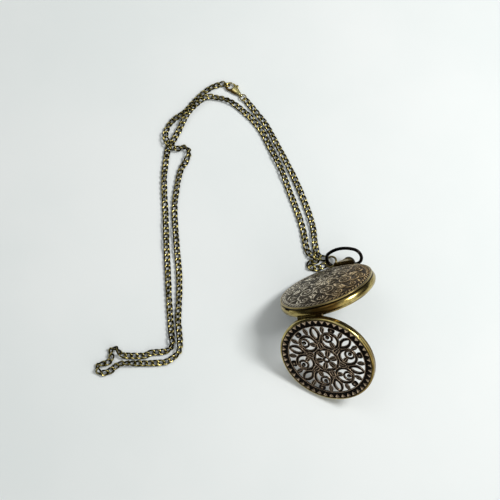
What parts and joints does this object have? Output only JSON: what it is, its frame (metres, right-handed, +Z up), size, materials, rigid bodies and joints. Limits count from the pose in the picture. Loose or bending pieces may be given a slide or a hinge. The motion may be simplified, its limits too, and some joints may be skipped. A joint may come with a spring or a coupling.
{
  "type": "locket pocket watch",
  "caption": "Open-faced locket pocket watch with an openwork hinged lid standing on a table, crown, swinging bow and a necklace chain closed by a lobster clasp.",
  "frame": {"origin": "on the table, under the middle of the watch without its chain", "axes": "+Z up from the table; +Y from the open lid's foot towards the crown and bow; the watch stands tent-like on its band, crown and lid rim"},
  "size_m": [0.132, 0.1657, 0.0406],
  "materials": {
    "antique_gold": "polished antique gold plating, worn dark in the corners",
    "dark_bronze": "dark antique bronze with low relief",
    "black_bronze": "near-black antique bronze wire",
    "chain_bronze": "antique bronze links",
    "bright_brass": "bright yellow brass",
    "train_brass": "plain brass",
    "steel": "satin steel",
    "crystal_glass": "clear mineral glass",
    "dial_white": "smooth off-white lacquer",
    "hand_black": "black lacquer",
    "holder_plastic": "white moulded plastic",
    "seal_rubber": "black rubber",
    "board_green": "green circuit board",
    "coil_copper": "enamelled copper wire"
  },
  "bodies": {
    "case": {"case_middle": "antique_gold", "back_cover": "dark_bronze", "back_seal": "seal_rubber", "bezel": "antique_gold", "crystal": "crystal_glass", "crystal_seal": "holder_plastic", "dial": "dial_white", "movement_holder": "holder_plastic", "main_plate": "steel", "train_bridge": "train_brass", "bridge_screws": "steel", "circuit_board": "board_green", "stator": "steel", "coil": "coil_copper", "button_cell": "steel", "cell_clip": "steel", "crown_tube": "steel", "pendant": "antique_gold", "lift_spring": "steel", "hinge_pin": "antique_gold", "chain_short": "chain_bronze", "chain_long": "chain_bronze", "clasp_body": "bright_brass", "clasp_pin": "bright_brass", "clasp_ring": "bright_brass", "end_ring": "bright_brass"},
    "lid": {"lid_rim": "antique_gold", "lid_grille": "dark_bronze"},
    "bow": {"bow": "black_bronze", "jump_ring": "chain_bronze"},
    "latch": {"latch": "steel"},
    "clutch": {"clutch_wheel": "steel"},
    "crown": {"crown": "antique_gold", "stem": "steel"},
    "seconds": {"second_hand": "hand_black", "seconds_wheel": "train_brass"},
    "minutes": {"minute_hand": "hand_black", "center_wheel": "train_brass"},
    "hours": {"hour_hand": "hand_black", "hour_wheel": "train_brass"},
    "third": {"third_wheel": "train_brass"},
    "fifth": {"fifth_wheel": "train_brass"},
    "rotor": {"rotor": "steel"},
    "minute_wheel": {"minute_wheel": "train_brass"},
    "lever": {"clasp_lever": "bright_brass"}
  },
  "joints": [
    {"name": "lid_hinge", "type": "hinge", "parent": "case", "child": "lid", "pos_m": [-0.00851, -0.00466, 0.03307], "axis": [-0.8358, 0, -0.549], "range_deg": [-83, 0]},
    {"name": "bow_swing", "type": "hinge", "parent": "case", "child": "bow", "pos_m": [0.01024, 0.02964, 0.00454], "axis": [-0.8358, 0, -0.549], "range_deg": [-20, 175], "deforming": ["chain_short", "chain_long"]},
    {"name": "latch_release", "type": "slide", "parent": "case", "child": "latch", "axis": [0.4107, 0.6637, -0.6252], "range_m": [-0.0005, 0], "stiffness_N_per_m": 200},
    {"name": "crown_spin", "type": "hinge", "parent": "case", "child": "clutch", "pos_m": [0.00785, 0.02579, 0.00816], "axis": [0.4107, 0.6637, -0.6252], "continuous": true},
    {"name": "crown_pull", "type": "slide", "parent": "clutch", "child": "crown", "axis": [0.4107, 0.6637, -0.6252], "range_m": [-0.0005, 0.001]},
    {"name": "second_spin", "type": "hinge", "parent": "case", "child": "seconds", "pos_m": [-0.00036, 0.01252, 0.02067], "axis": [-0.3644, 0.748, 0.5547], "continuous": true},
    {"name": "minute_spin", "type": "hinge", "parent": "case", "child": "minutes", "pos_m": [-0.00036, 0.01252, 0.02067], "axis": [-0.3644, 0.748, 0.5547], "continuous": true},
    {"name": "hour_spin", "type": "hinge", "parent": "case", "child": "hours", "pos_m": [-0.00036, 0.01252, 0.02067], "axis": [-0.3644, 0.748, 0.5547], "continuous": true},
    {"name": "third_spin", "type": "hinge", "parent": "case", "child": "third", "pos_m": [0.00081, 0.01175, 0.02337], "axis": [-0.3644, 0.748, 0.5547], "continuous": true},
    {"name": "fifth_spin", "type": "hinge", "parent": "case", "child": "fifth", "pos_m": [-0.00036, 0.01556, 0.01926], "axis": [-0.3644, 0.748, 0.5547], "continuous": true},
    {"name": "rotor_spin", "type": "hinge", "parent": "case", "child": "rotor", "pos_m": [0.00126, 0.01677, 0.0187], "axis": [-0.3644, 0.748, 0.5547], "continuous": true},
    {"name": "minute_wheel_spin", "type": "hinge", "parent": "case", "child": "minute_wheel", "pos_m": [-0.00189, 0.01281, 0.01855], "axis": [-0.3644, 0.748, 0.5547], "continuous": true},
    {"name": "clasp_lever_swing", "type": "hinge", "parent": "case", "child": "lever", "pos_m": [-0.04648, 0.12395, 0.0012], "axis": [0, 0, 1], "range_deg": [0, 18], "stiffness_Nm_per_rad": 0.0005}
  ],
  "couplings": [
    {"joint": "minute_spin", "follows": "second_spin", "ratio": 0.016667},
    {"joint": "hour_spin", "follows": "second_spin", "ratio": 0.0013889},
    {"joint": "third_spin", "follows": "second_spin", "ratio": -0.13333},
    {"joint": "minute_wheel_spin", "follows": "second_spin", "ratio": -0.0055556},
    {"joint": "fifth_spin", "follows": "second_spin", "ratio": -5},
    {"joint": "rotor_spin", "follows": "second_spin", "ratio": 30}
  ]
}
